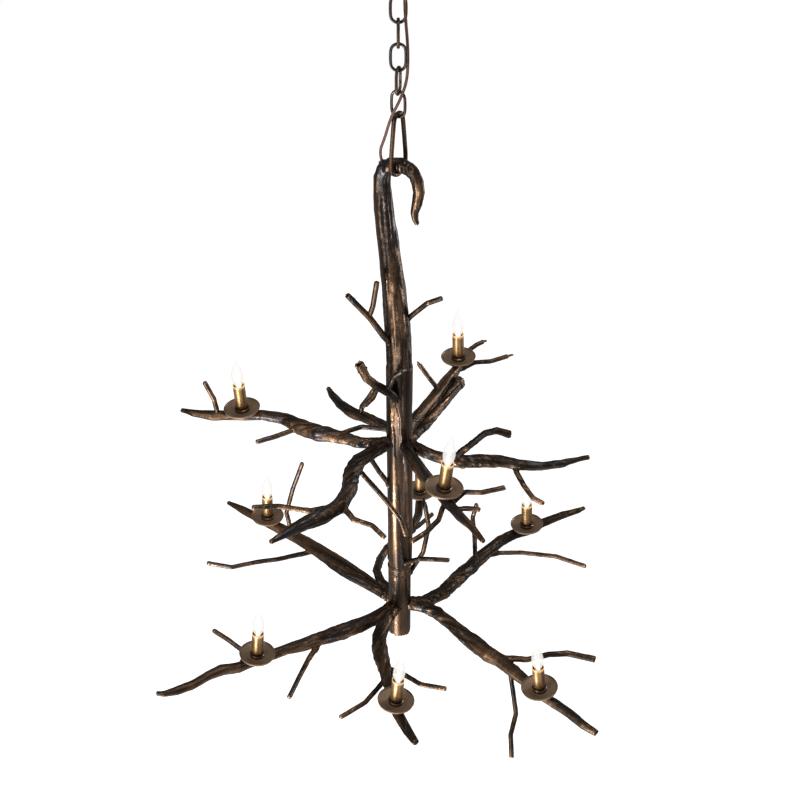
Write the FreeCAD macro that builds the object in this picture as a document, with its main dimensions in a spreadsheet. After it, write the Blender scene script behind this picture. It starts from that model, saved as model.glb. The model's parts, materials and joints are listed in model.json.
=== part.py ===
import FreeCAD, Part
import math
import os
import Sketcher

# Branch chandelier: a forged crook on a chain, with twelve branches in two
# tiers and nine candle lights.  Millimetres, +Z up, origin at the centre of
# the canopy's face against the ceiling, so the whole lamp hangs below zero.

V = FreeCAD.Vector

SIZES = {
    # Ceiling canopy and what holds it up
    "canopy_dia": 127.0,
    "canopy_depth": 46.0,
    "canopy_wall": 1.5,
    "canopy_lip_height": 5.0,
    "canopy_shoulder_dia": 100.0,
    "canopy_shoulder_depth": 34.0,
    "canopy_crown_dia": 58.0,
    "crossbar_end": 5.15,
    "crossbar_width": 16.0,
    "crossbar_wall": 3.0,
    "box_screw_spacing": 88.9,
    "box_screw_hole": 4.8,
    "nipple_dia": 10.3,
    "nipple_bore": 6.8,
    "locknut_across": 16.0,
    "locknut_height": 4.0,
    # Screw collar and the loop that carries the chain
    "collar_dia": 34.0,
    "collar_height": 10.0,
    "loop_wire": 6.0,
    "loop_width": 24.0,
    "loop_leg": 32.5,
    # Chain and hanging ring
    "link_wire": 6.0,
    "link_length": 55.5,
    "link_width": 33.0,
    "ring_wire": 9.0,
    "ring_length": 128.6,
    "ring_top_width": 30.0,
    "ring_bottom_width": 51.0,
    "wire_gap": 0.3,
    "crook_gap": 1.8,
    # Crook, trunk and the pipe below it
    "crook_azimuth": -33.0,
    "trunk_offset": 2.0,
    "upper_hub_drop": 603.0,
    "seam_drop": 956.0,
    "lower_hub_drop": 1050.0,
    "trunk_bottom_drop": 1129.0,
    "trunk_bore": 38.0,
    "bore_top_drop": 420.0,
    "pipe_dia": 48.3,
    "pipe_wall": 3.2,
    "coupling_length": 60.0,
    "coupling_wall": 2.5,
    "cap_thickness": 3.0,
    "cap_recess": 12.0,
    "harness_dia": 16.0,
    "tube_end_bore": 0.62,
    "tube_end_depth": 16.0,
    # Supply cord
    "cord_dia": 5.5,
    "inlet_dia": 9.0,
    "inlet_depth": 12.0,
    "bushing_flange_dia": 12.5,
    "bushing_flange": 1.6,
    # One candle light
    "seat_lift": 2.0,
    "shoulder_dia": 17.0,
    "stem_dia": 9.5,
    "stem_rise": 9.0,
    "pan_dia": 76.0,
    "pan_rise": 8.5,
    "pan_flat_dia": 40.0,
    "pan_wall": 1.4,
    "cup_dia": 31.0,
    "cup_height": 8.0,
    "cup_floor": 1.6,
    "sleeve_dia": 25.4,
    "sleeve_height": 63.5,
    "sleeve_wall": 0.9,
    "socket_dia": 20.0,
    "socket_height": 56.0,
    "socket_floor": 28.0,
    "bulb_base_dia": 11.7,
    "bulb_dia": 25.0,
    "bulb_height": 68.0,
    "fit_gap": 0.3,
}


class Size:
    """A value together with the spreadsheet expression that it comes from."""

    def __init__(self, value, text):
        self.value = float(value)
        self.text = text

    def __add__(self, other):
        return joined(self, "+", other, self.value + number(other))

    def __radd__(self, other):
        return joined(other, "+", self, number(other) + self.value)

    def __sub__(self, other):
        return joined(self, "-", other, self.value - number(other))

    def __rsub__(self, other):
        return joined(other, "-", self, number(other) - self.value)

    def __mul__(self, other):
        return joined(self, "*", other, self.value * number(other))

    def __rmul__(self, other):
        return joined(other, "*", self, number(other) * self.value)

    def __truediv__(self, other):
        return joined(self, "/", other, self.value / number(other))

    def __neg__(self):
        return Size(-self.value, f"(-1 * {self.text})")

    def __float__(self):
        return self.value


def number(item):
    return item.value if isinstance(item, Size) else float(item)


def words(item):
    return item.text if isinstance(item, Size) else repr(float(item))


def joined(left, sign, right, value):
    return Size(value, f"({words(left)} {sign} {words(right)})")


doc = FreeCAD.newDocument("branch_chandelier")
sheet = doc.addObject("Spreadsheet::Sheet", "sizes")
for row, (alias, value) in enumerate(SIZES.items(), start=1):
    sheet.set(f"A{row}", alias)
    sheet.set(f"B{row}", str(value))
    sheet.setAlias(f"B{row}", alias)
doc.recompute()


def size(alias):
    return Size(sheet.get(alias), f"sizes.{alias}")


NODES = []


def keep(item, label):
    """Gives an object its node name and lists it for export."""
    item.Label = label
    NODES.append(item)
    return item


def bind(item, **values):
    for name, value in values.items():
        setattr(item, name, number(value))
        if isinstance(value, Size):
            item.setExpression(name, value.text)


# ---------------------------------------------------------------- sketches

def plane_of(body, role):
    return [p for p in body.Origin.OriginFeatures if p.Role == role][0]


def sketch_on(body, role, name):
    sketch = body.newObject("Sketcher::SketchObject", name)
    sketch.AttachmentSupport = (plane_of(body, role), [""])
    sketch.MapMode = "FlatFace"
    return sketch


def set_corner(sketch, line, corner):
    """Ties the start of a line to a corner's two sizes."""
    for kind, value, axis in zip(("DistanceX", "DistanceY"), corner, (-2, -1)):
        if number(value) == 0.0:
            sketch.addConstraint(Sketcher.Constraint("PointOnObject", line, 1, axis))
            continue
        rule = Sketcher.Constraint(kind, -1, 1, line, 1, number(value))
        index = sketch.addConstraint(rule)
        if isinstance(value, Size):
            sketch.setExpression(f"Constraints[{index}]", value.text)


def outline(sketch, corners):
    """A closed outline of straight lines through corners bound to the sheet."""
    flat = [V(number(x), number(y), 0) for x, y in corners]
    count = len(flat)
    for index in range(count):
        line = Part.LineSegment(flat[index], flat[(index + 1) % count])
        sketch.addGeometry(line)
    for index in range(count):
        meet = Sketcher.Constraint("Coincident", index, 2, (index + 1) % count, 1)
        sketch.addConstraint(meet)
    for index, corner in enumerate(corners):
        set_corner(sketch, index, corner)


def turned(name, corners):
    """A body turned about its own Z axis from a radius and height outline."""
    body = doc.addObject("PartDesign::Body", name)
    sketch = sketch_on(body, "XZ_Plane", name + "_profile")
    outline(sketch, corners)
    spin = body.newObject("PartDesign::Revolution", name + "_turned")
    spin.Profile = sketch
    spin.ReferenceAxis = (sketch, ["V_Axis"])
    spin.Angle = 360
    sketch.Visibility = False
    doc.recompute()
    return body


# ------------------------------------------------- bars, wires and branches

def unit(vector):
    return V(vector).normalize()


def carried_frames(points):
    """A side vector at each point, turned no more than the route needs."""
    legs = [unit(b - a) for a, b in zip(points, points[1:])]
    ahead = [legs[0]] + [unit(a + b) for a, b in zip(legs, legs[1:])] + [legs[-1]]
    start = V(0, 0, 1) if abs(ahead[0].z) < 0.8 else V(0, 1, 0)
    side = unit(start.cross(ahead[0]))
    frames = []
    for way in ahead:
        side = unit(side - way * side.dot(way))
        frames.append((side, way.cross(side)))
    return frames


def ring_wire_at(point, frame, radius, sides, rough, turn):
    """One many-sided section; rough sets how uneven the hammering is."""
    corners = []
    for step in range(sides):
        angle = 2 * math.pi * step / sides + 0.35 * turn
        beat = 1 + rough * math.sin(2.4 * step + 1.7 * turn)
        reach = radius * beat
        across = frame[0] * (reach * math.cos(angle))
        corners.append(point + across + frame[1] * (reach * math.sin(angle)))
    return Part.makePolygon(corners + corners[:1])


def forged_bar(stations, sides=8, rough=0.07, origin=V(0, 0, 0)):
    """A hammered bar through (x, y, z, diameter) stations."""
    points = [origin + V(*station[:3]) for station in stations]
    sections = []
    for index, frame in enumerate(carried_frames(points)):
        radius = stations[index][3] / 2
        section = ring_wire_at(points[index], frame, radius, sides, rough, index)
        sections.append(section)
    return Part.makeLoft(sections, True, True)


def closed_wire(path, wire_dia, sides=10):
    """A closed loop of round wire, faceted, along a closed run of points."""
    count = len(path)
    sections = []
    normal = V(0, 1, 0)
    for index, point in enumerate(path):
        ahead = unit(path[(index + 1) % count] - path[index - 1])
        frame = (normal, ahead.cross(normal))
        sections.append(ring_wire_at(point, frame, wire_dia / 2, sides, 0.0, 0))
    return Part.makeSolid(Part.makeLoft(sections, False, True, True))


def largest(shape):
    return max(shape.Solids, key=lambda solid: solid.Volume)


def solid_feature(label, shape, place=FreeCAD.Placement()):
    item = doc.addObject("Part::Feature", label)
    item.Shape = shape
    item.Placement = place
    return keep(item, label)


def oval_path(length, top_width, bottom_width, steps=6):
    """Points round an oval in the XZ plane, wider at one end than the other."""
    path = []
    for centre_z, radius, first in (
        (length / 2 - top_width / 2, top_width / 2, 0.0),
        (bottom_width / 2 - length / 2, bottom_width / 2, math.pi),
    ):
        for step in range(steps + 1):
            angle = first + math.pi * step / steps
            path.append(V(radius * math.cos(angle), 0, centre_z + radius * math.sin(angle)))
    return path


def turned_about_z(azimuth, height):
    return FreeCAD.Placement(V(0, 0, height), FreeCAD.Rotation(V(0, 0, 1), azimuth))


# ------------------------------------------------------ levels, top to bottom

COLLAR_BOTTOM = -(size("canopy_depth") + size("collar_height"))
LOOP_LOW = COLLAR_BOTTOM - size("loop_leg") - size("loop_width") / 2
LINK_REACH = (size("link_length") - size("link_wire")) / 2
LINK_AZIMUTHS = (90.0, 0.0, 90.0, 0.0, 75.0, -28.0)
RING_AZIMUTH = 57.0
RING_REACH = (size("ring_length") - size("ring_wire")) / 2


def link_levels():
    """Centre height of each link, hung in the one above with a small gap."""
    levels = []
    above = LOOP_LOW
    above_wire = size("loop_wire")
    for _ in LINK_AZIMUTHS:
        lift = (above_wire + size("link_wire")) / 2 + size("wire_gap")
        centre = above + lift - LINK_REACH
        levels.append(centre)
        above = centre - LINK_REACH
        above_wire = size("link_wire")
    return levels


LINK_LEVELS = link_levels()
LAST_LINK_LOW = LINK_LEVELS[-1] - LINK_REACH
RING_LIFT = (size("link_wire") + size("ring_wire")) / 2 + size("wire_gap")
RING_LEVEL = LAST_LINK_LOW + RING_LIFT - RING_REACH
HANG_LEVEL = RING_LEVEL - RING_REACH + size("ring_wire") / 2 + size("crook_gap")
UPPER_HUB = HANG_LEVEL - size("upper_hub_drop")
SEAM = HANG_LEVEL - size("seam_drop")
LOWER_HUB = HANG_LEVEL - size("lower_hub_drop")
TRUNK_BOTTOM = HANG_LEVEL - size("trunk_bottom_drop")
TRUNK_X = size("trunk_offset")


# -------------------------------------------------------------- ceiling end

def make_canopy():
    outer = size("canopy_dia") / 2
    shoulder = size("canopy_shoulder_dia") / 2
    crown = size("canopy_crown_dia") / 2
    wall = size("canopy_wall")
    depth = size("canopy_depth")
    bend = size("canopy_shoulder_depth")
    lip = size("canopy_lip_height")
    hole = size("nipple_dia") / 2 + size("fit_gap")
    keep(turned("canopy_dome", [
        (outer - wall, 0),
        (outer, 0),
        (outer, -lip),
        (shoulder, -bend),
        (crown, -depth),
        (hole, -depth),
        (hole, wall - depth),
        (crown - wall, wall - depth),
        (shoulder - wall, wall - bend),
        (outer - wall, -lip),
    ]), "canopy")


def make_crossbar():
    margin = size("box_screw_hole") + 2 * size("crossbar_end")
    length = size("box_screw_spacing") + margin
    bar = doc.addObject("Part::Box", "crossbar_blank")
    bind(bar, Length=length, Width=size("crossbar_width"))
    bind(bar, Height=size("crossbar_wall"))
    bar.setExpression("Placement.Base.x", f"-{length.text} / 2")
    bar.setExpression("Placement.Base.y", "-sizes.crossbar_width / 2")
    bar.setExpression("Placement.Base.z", "-sizes.crossbar_wall")
    holes = []
    for name, share in (("left", -0.5), ("right", 0.5)):
        hole = doc.addObject("Part::Cylinder", f"crossbar_hole_{name}")
        bind(hole, Radius=size("box_screw_hole") / 2)
        bind(hole, Height=size("crossbar_wall") * 3)
        hole.setExpression("Placement.Base.x", f"{share} * sizes.box_screw_spacing")
        hole.setExpression("Placement.Base.z", "-2 * sizes.crossbar_wall")
        holes.append(hole)
    middle = doc.addObject("Part::Cylinder", "crossbar_hole_middle")
    bind(middle, Radius=size("nipple_dia") / 2 + size("fit_gap"))
    bind(middle, Height=size("crossbar_wall") * 3)
    middle.setExpression("Placement.Base.z", "-2 * sizes.crossbar_wall")
    tools = doc.addObject("Part::MultiFuse", "crossbar_holes")
    tools.Shapes = holes + [middle]
    cut = doc.addObject("Part::Cut", "crossbar_cut")
    cut.Base = bar
    cut.Tool = tools
    keep(cut, "canopy_crossbar")


def make_nipple():
    """The threaded tube runs from the crossbar down into the screw collar."""
    outer = size("nipple_dia") / 2
    inner = size("nipple_bore") / 2
    low = COLLAR_BOTTOM + size("collar_height") / 2
    corners = [(inner, low), (outer, low), (outer, 0), (inner, 0)]
    keep(turned("threaded_tube", corners), "canopy_nipple")


def make_locknut():
    nut = doc.addObject("Part::Prism", "locknut_blank")
    nut.Polygon = 6
    bind(nut, Circumradius=size("locknut_across") / math.sqrt(3))
    bind(nut, Height=size("locknut_height"))
    bore = doc.addObject("Part::Cylinder", "locknut_bore")
    bind(bore, Radius=size("nipple_dia") / 2 + size("fit_gap"))
    bind(bore, Height=size("locknut_height"))
    cut = doc.addObject("Part::Cut", "locknut_cut")
    cut.Base = nut
    cut.Tool = bore
    cut.setExpression("Placement.Base.z", "-sizes.crossbar_wall - sizes.locknut_height")
    keep(cut, "canopy_locknut")


def make_collar_loop():
    """Screw collar with a forged loop; the cord comes down through its bore."""
    outer = number(size("collar_dia")) / 2
    high = -number(size("canopy_depth"))
    low = number(COLLAR_BOTTOM)
    bore = number(size("nipple_dia")) / 2 + number(size("fit_gap"))
    hole = number(size("nipple_bore")) / 2
    wire = number(size("loop_wire"))
    half = number(size("loop_width")) / 2
    knurl = outer - 2.5
    section = [
        (hole, low), (knurl, low), (outer, low + 2.5), (outer, high - 3.0),
        (knurl, high), (bore, high), (bore, (low + high) / 2), (hole, (low + high) / 2),
    ]
    face = Part.Face(Part.makePolygon([V(r, 0, z) for r, z in section + section[:1]]))
    collar = face.revolve(V(0, 0, 0), V(0, 0, 1), 360)
    stations = [(-half, 0, low + 3, wire), (-half, 0, low - number(size("loop_leg")), wire)]
    for step in range(1, 8):
        angle = math.pi + math.pi * step / 8
        z = low - number(size("loop_leg")) + half * math.sin(angle)
        stations.append((half * math.cos(angle), 0, z, wire))
    stations += [(half, 0, low - number(size("loop_leg")), wire), (half, 0, low + 3, wire)]
    loop = forged_bar(stations, sides=10, rough=0.0)
    solid_feature("canopy_collar_loop", collar.fuse(loop))


def make_chain():
    wire = number(size("link_wire"))
    length = number(size("link_length")) - wire
    width = number(size("link_width")) - wire
    link = closed_wire(oval_path(length, width, width), wire)
    for index, (azimuth, level) in enumerate(zip(LINK_AZIMUTHS, LINK_LEVELS), start=1):
        place = turned_about_z(azimuth, number(level))
        solid_feature(f"chain_link_{index}", link.copy(), place)


def make_ring():
    wire = number(size("ring_wire"))
    path = oval_path(
        number(size("ring_length")) - wire,
        number(size("ring_top_width")),
        number(size("ring_bottom_width")),
    )
    ring = closed_wire(path, wire)
    place = turned_about_z(RING_AZIMUTH, number(RING_LEVEL))
    solid_feature("hanging_ring", ring, place)


# ---------------------------------------------------------- crook and trunk

# Crook centre line in its own upright plane: distance out along the plane,
# height over the point that rests on the ring, and bar diameter.
CROOK_LINE = (
    (-8.0, -276.0, 45.0),
    (-24.0, -151.0, 40.0),
    (-33.0, -85.0, 36.5),
    (-35.0, -50.0, 34.0),
    (-36.0, -24.0, 31.0),
    (-29.0, -2.0, 28.0),
    (-15.0, 9.5, 26.5),
    (3.0, 13.3, 26.0),
    (20.0, 11.0, 25.0),
    (34.0, 3.0, 23.0),
    (42.0, -11.0, 21.0),
    (44.0, -31.0, 19.0),
    (40.0, -55.0, 17.0),
    (35.0, -75.0, 14.0),
    (37.0, -88.0, 11.0),
    (41.5, -97.0, 8.0),
)
# Trunk above the upper hub: height over the hub, diameter, depth of flutes.
TRUNK_LINE = (
    (207.0, 51.0, 0.02),
    (150.0, 49.5, 0.03),
    (70.0, 47.5, 0.04),
    (0.0, 48.0, 0.04),
)
# Trunk from the hub down to the seam: share of that run, diameter, flutes.
TRUNK_RUN = (
    (0.14, 47.5, 0.08),
    (0.40, 48.0, 0.10),
    (0.71, 48.0, 0.10),
    (0.91, 48.3, 0.05),
)
TRUNK_SIDES = 18
FLUTES = 6


def crook_point(out, height):
    turn = math.radians(number(size("crook_azimuth")))
    return V(out * math.cos(turn), out * math.sin(turn), number(HANG_LEVEL) + height)


def trunk_stations():
    """Stations from the seam up over the crook to its tip."""
    x = number(TRUNK_X)
    hub = number(UPPER_HUB)
    rows = [(V(x, 0, number(SEAM)), number(size("pipe_dia")), 0.0)]
    for share, diameter, flute in reversed(TRUNK_RUN):
        height = hub + share * (number(SEAM) - hub)
        rows.append((V(x, 0, height), diameter, flute))
    for height, diameter, flute in reversed(TRUNK_LINE):
        rows.append((V(x, 0, hub + height), diameter, flute))
    for out, height, diameter in CROOK_LINE:
        rows.append((crook_point(out, height), diameter, 0.03))
    return rows


def fluted_section(point, frame, radius, flute, turn):
    corners = []
    for step in range(TRUNK_SIDES):
        angle = 2 * math.pi * step / TRUNK_SIDES
        wave = 1 + flute * math.sin(FLUTES * angle / 2 + 0.7 * turn)
        reach = radius * wave * (1 + 0.2 * flute * math.sin(2.4 * step + turn))
        across = frame[0] * (reach * math.cos(angle))
        corners.append(point + across + frame[1] * (reach * math.sin(angle)))
    return Part.makePolygon(corners + corners[:1])


def trunk_blank():
    rows = trunk_stations()
    frames = carried_frames([row[0] for row in rows])
    sections = []
    for index, (point, diameter, flute) in enumerate(rows):
        section = fluted_section(point, frames[index], diameter / 2, flute, index)
        sections.append(section)
    return Part.makeLoft(sections, True, True)


INLET_OUT = -29.0
INLET_HEIGHT = -2.0
INLET_TILT = 30.0


def inlet_axis():
    """Where the cord goes into the crook's shoulder, and which way it faces."""
    turn = math.radians(number(size("crook_azimuth")))
    lean = math.radians(INLET_TILT)
    way = V(-math.sin(lean) * math.cos(turn), -math.sin(lean) * math.sin(turn), math.cos(lean))
    middle = crook_point(INLET_OUT, INLET_HEIGHT)
    return middle + way * 14.0, way


def rod(start, way, radius, length):
    return Part.makeCylinder(radius, length, start, way)


def make_crook_trunk():
    blank = trunk_blank()
    x = number(TRUNK_X)
    seam = number(SEAM)
    bore = number(size("trunk_bore")) / 2
    socket = number(size("pipe_dia")) / 2 - number(size("pipe_wall"))
    depth = number(size("coupling_length")) / 2
    top = number(HANG_LEVEL) - number(size("bore_top_drop"))
    blank = blank.cut(rod(V(x, 0, seam - 1), V(0, 0, 1), bore, top - seam + 1))
    blank = blank.cut(rod(V(x, 0, seam - 1), V(0, 0, 1), socket, depth + 1))
    face, way = inlet_axis()
    reach = number(size("inlet_depth"))
    hole = number(size("inlet_dia")) / 2
    blank = blank.cut(rod(face - way * reach, way, hole, reach + 12))
    return solid_feature("crook_trunk", largest(blank))


def make_bushing():
    face, way = inlet_axis()
    bore = number(size("cord_dia")) / 2 + number(size("fit_gap"))
    outer = number(size("inlet_dia")) / 2
    body = rod(face - way * 8, way, outer, 8)
    flange = rod(face, way, number(size("bushing_flange_dia")) / 2, number(size("bushing_flange")))
    shape = body.fuse(flange).cut(rod(face - way * 10, way, bore, 20))
    solid_feature("cord_bushing", shape.removeSplitter())


def make_lower_pipe():
    """Straight pipe under the seam, its lower edge cut by hand with a torch."""
    x = number(TRUNK_X)
    low = number(TRUNK_BOTTOM)
    high = number(SEAM)
    outer = number(size("pipe_dia")) / 2
    inner = outer - number(size("pipe_wall"))
    pipe = rod(V(x, 0, low), V(0, 0, 1), outer, high - low)
    pipe = pipe.cut(rod(V(x, 0, low - 1), V(0, 0, 1), inner, high - low + 2))
    for step in range(9):
        angle = 2 * math.pi * step / 9 + 0.25 * math.sin(3.1 * step)
        bite = 3.0 + 1.8 * math.sin(2.3 * step)
        middle = V(x + outer * math.cos(angle), outer * math.sin(angle), low - 1.2)
        pipe = pipe.cut(Part.makeSphere(bite, middle))
    return solid_feature("lower_trunk", largest(pipe))


def make_coupling():
    gap = size("fit_gap")
    outer = size("pipe_dia") / 2 - size("pipe_wall") - gap
    inner = outer - size("coupling_wall")
    half = size("coupling_length") / 2
    corners = [(inner, -half), (outer, -half), (outer, half), (inner, half)]
    body = turned("inner_sleeve", corners)
    body.Placement.Base = V(number(TRUNK_X), 0, number(SEAM))
    body.setExpression("Placement.Base.x", TRUNK_X.text)
    body.setExpression("Placement.Base.z", SEAM.text)
    keep(body, "trunk_coupling")


def make_bottom_cap():
    radius = size("pipe_dia") / 2 - size("pipe_wall") - size("fit_gap")
    corners = [(0, 0), (radius, 0), (radius, size("cap_thickness")), (0, size("cap_thickness"))]
    body = turned("end_plate", corners)
    body.setExpression("Placement.Base.x", TRUNK_X.text)
    body.setExpression("Placement.Base.z", (TRUNK_BOTTOM + size("cap_recess")).text)
    keep(body, "trunk_bottom_cap")


def make_harness():
    """The bundle of lamp leads and their splices, standing on the end plate."""
    plate_top = TRUNK_BOTTOM + size("cap_recess") + size("cap_thickness")
    low = number(plate_top + size("fit_gap"))
    high = number(HANG_LEVEL) - number(size("bore_top_drop"))
    x = number(TRUNK_X)
    span = high - low
    thick = number(size("harness_dia"))
    stations = []
    for step in range(9):
        sway = 2.0 * math.sin(1.9 * step)
        fat = thick * (0.8 + 0.2 * math.cos(2.6 * step))
        stations.append((x + sway, 1.5 * math.cos(1.3 * step), low + span * step / 8, fat))
    solid_feature("wire_harness", forged_bar(stations, sides=8, rough=0.0))


# ------------------------------------------------------------------ branches

# Each branch starts inside the trunk and is coped to it.  A row is distance
# right of the trunk, distance behind it, height over the hub, and diameter.
BRANCHES = {
    "upper_left": (
        (-10, -5, 0, 24), (-40, -13, 0, 23), (-79, -11, 0, 22), (-114, 2, 2, 26),
        (-165, 22, 0, 33), (-203, 46, -2, 34), (-238, 72, 0, 25), (-285, 83, 2, 22),
        (-326, 84, 0, 21), (-390, 84, 0, 20), (-430, 92, 0, 14), (-457, 104, 0, 8),
    ),
    "upper_front_left": (
        (-14, -6, 0, 24), (-52, -40, 0, 26), (-82, -74, 0, 30), (-95, -115, 2, 32),
        (-99, -164, 0, 30), (-114, -205, -4, 32), (-140, -235, -4, 29),
        (-169, -258, -2, 28), (-199, -283, 0, 21), (-229, -311, 0, 12),
        (-241, -322, 0, 7),
    ),
    "upper_front": (
        (8, -12, 0, 24), (22, -58, 0, 25), (34, -87, 0, 26), (54, -128, 0, 26),
        (84, -182, 0, 23), (97, -212, 0, 21), (117, -247, 0, 18), (137, -279, 0, 15),
        (157, -320, 0, 9),
    ),
    "upper_right": (
        (12, -6, 0, 20), (54, -45, 0, 24), (86, -63, 0, 25), (120, -73, 0, 26),
        (160, -73, 2, 28), (200, -73, 0, 26), (241, -85, 0, 22), (283, -90, 0, 18),
        (325, -80, 0, 15), (368, -63, 0, 8), (380, -60, 0, 6),
    ),
    "upper_back": (
        (6, 10, 6, 23), (34, 66, 7, 23), (64, 124, 6, 23), (95, 198, 2, 24),
        (120, 250, 0, 22), (129, 278, 0, 20), (131, 296, 0, 17),
    ),
    "upper_back_left": (
        (-8, 12, 0, 20), (-26, 44, 0, 20), (-64, 71, 0, 23), (-99, 95, 0, 24),
        (-124, 124, 0, 20), (-143, 160, 0, 15), (-153, 185, 0, 8),
    ),
    "lower_back_left": (
        (-10, 8, 0, 26), (-50, 44, 0, 28), (-88, 78, 0, 31), (-146, 134, 0, 34),
        (-194, 180, 0, 32), (-246, 228, 0, 28), (-311, 276, 0, 22),
        (-370, 320, 0, 18), (-398, 340, 0, 12), (-412, 350, 0, 7),
    ),
    "lower_back_right": (
        (12, 0, 0, 24), (57, 1, 0, 28), (98, 33, 0, 31), (131, 80, 0, 33),
        (164, 122, 0, 31), (198, 166, 0, 29), (232, 206, 0, 26), (266, 231, 0, 25),
        (298, 245, 0, 23), (335, 272, 0, 21), (387, 303, 0, 18), (427, 320, 0, 13),
        (442, 330, 0, 6),
    ),
    "lower_back": (
        (-6, 14, 8, 20), (-40, 50, 14, 19), (-52, 92, 12, 18), (-43, 143, 4, 18),
        (-28, 185, 0, 18), (-2, 214, 0, 18), (30, 250, 0, 18), (45, 305, 0, 18),
        (49, 374, 0, 18), (56, 410, 0, 13), (66, 432, 0, 8),
    ),
    "lower_front_left": (
        (-10, -6, 0, 25), (-50, -50, 0, 28), (-87, -75, 0, 31), (-127, -95, 0, 34),
        (-168, -113, 0, 30), (-208, -132, 0, 26), (-250, -152, 0, 21),
        (-301, -178, 0, 21), (-337, -200, 0, 21), (-373, -209, 0, 22),
        (-400, -226, 0, 20), (-430, -252, 0, 20), (-461, -268, 0, 18),
        (-485, -276, 0, 12), (-501, -274, 0, 8),
    ),
    "lower_front": (
        (-4, -10, 0, 24), (-32, -62, 0, 27), (-45, -106, 0, 30), (-43, -145, 0, 34),
        (-36, -182, 0, 31), (-27, -220, 0, 27), (-17, -268, 0, 23),
        (-9, -312, 0, 22), (2, -344, 0, 22), (15, -375, 0, 20), (33, -409, 0, 14),
    ),
    "lower_front_right": (
        (12, -4, 0, 22), (52, -15, 0, 24), (81, -32, 0, 27), (111, -69, 0, 28),
        (140, -104, 0, 30), (169, -138, 0, 35), (190, -162, 0, 34),
        (212, -181, 0, 30), (239, -212, 0, 29), (265, -245, 0, 23),
        (289, -276, 0, 21), (319, -304, 0, 21), (345, -330, 0, 20),
        (370, -361, 0, 18), (394, -383, 0, 14),
    ),
}

# Side shoots, welded on.  The first row lies inside what they grow from.
TWIGS = {
    "upper_left": (
        ((-378, 84, 4, 10), (-384, 84, 42, 9), (-400, 84, 84, 6)),
        ((-211, 46, -6, 12), (-253, 28, -12, 9), (-293, 10, -14, 5)),
        ((-127, 9, 6, 9), (-78, 30, 10, 8), (-24, 18, 12, 9)),
    ),
    "upper_front_left": (
        ((-124, -214, -2, 14), (-171, -222, -6, 11), (-235, -210, -4, 9), (-282, -219, 0, 5)),
        ((-112, -204, -6, 14), (-88, -238, -14, 11), (-52, -249, -20, 9), (-28, -277, -26, 6)),
        ((-84, -88, -6, 10), (-27, -120, -62, 8), (2, -130, -103, 7), (13, -140, -137, 5)),
        ((-60, -50, -7, 10), (-43, -30, -57, 9), (-20, -8, -112, 10)),
    ),
    "upper_front": (
        ((97, -210, 0, 13), (126, -182, 8, 10), (158, -191, 14, 9), (203, -183, 20, 5)),
        ((88, -192, -6, 10), (75, -241, -12, 8), (51, -274, -16, 7), (23, -296, -20, 5)),
        ((103, -226, 2, 10), (129, -232, 8, 8), (152, -240, 12, 5)),
    ),
    "upper_right": (
        ((106, -70, 4, 15), (135, -72, 34, 14), (168, -72, 68, 14), (191, -72, 75, 15), (219, -72, 66, 16)),
        ((226, -80, -4, 12), (245, -131, -16, 10), (262, -164, -22, 8), (281, -175, -26, 5)),
    ),
    "upper_back": (
        ((129, 284, -1, 10), (150, 322, 4, 8), (172, 338, 12, 7), (192, 345, 18, 5)),
        ((122, 254, -5, 10), (165, 290, -4, 9), (200, 288, 0, 8), (249, 306, 6, 5)),
        ((84, 168, 6, 10), (63, 166, 38, 8), (38, 166, 79, 5)),
    ),
    "upper_back_left": (
        ((-80, 84, 2, 9), (-78, 78, 28, 8), (-64, 52, 66, 7), (-52, 14, 112, 5)),
    ),
    "lower_back_left": (
        ((-252, 232, 4, 12), (-261, 230, 67, 9), (-244, 230, 135, 8), (-219, 230, 210, 5)),
        ((-199, 180, -8, 13), (-281, 160, -14, 10), (-333, 151, -16, 9), (-384, 132, -14, 8), (-440, 142, -10, 5)),
    ),
    "lower_back_right": (
        ((192, 160, -6, 12), (231, 176, -9, 9), (279, 174, -6, 9), (358, 154, 0, 8), (422, 115, 4, 5)),
        ((173, 134, 6, 10), (169, 132, 72, 8), (163, 132, 133, 7), (171, 132, 171, 5)),
    ),
    "lower_back": (
        ((-2, 214, 2, 12), (44, 236, 22, 9), (78, 266, 34, 5)),
    ),
    "lower_front_left": (
        ((-326, -194, 2, 10), (-335, -156, 8, 8), (-364, -135, 16, 7), (-398, -112, 22, 5)),
        ((-170, -114, -8, 13), (-195, -161, -18, 11), (-214, -216, -22, 9), (-229, -263, -24, 5)),
    ),
    "lower_front": (
        ((-27, -224, -6, 12), (-44, -250, -8, 10), (-70, -290, -10, 9), (-120, -333, -8, 5)),
        ((-32, -200, 2, 12), (8, -224, 4, 10), (44, -257, 8, 9), (95, -273, 12, 5)),
    ),
    "lower_front_right": (
        ((203, -176, 4, 14), (240, -183, 8, 13), (269, -187, 10, 12), (314, -176, 14, 13), (354, -177, 18, 14), (410, -197, 20, 14)),
        ((232, -204, -8, 11), (238, -236, -37, 9), (243, -270, -64, 8), (231, -305, -89, 8), (232, -340, -120, 5)),
    ),
}

# Branches whose free ends were sawn off square and show as open tube.
CUT_BAR = ((12, 4, -10, 24), (54, 74, -15, 25), (85, 137, -13, 25), (108, 178, -10, 26), (131, 220, -6, 23))

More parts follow.
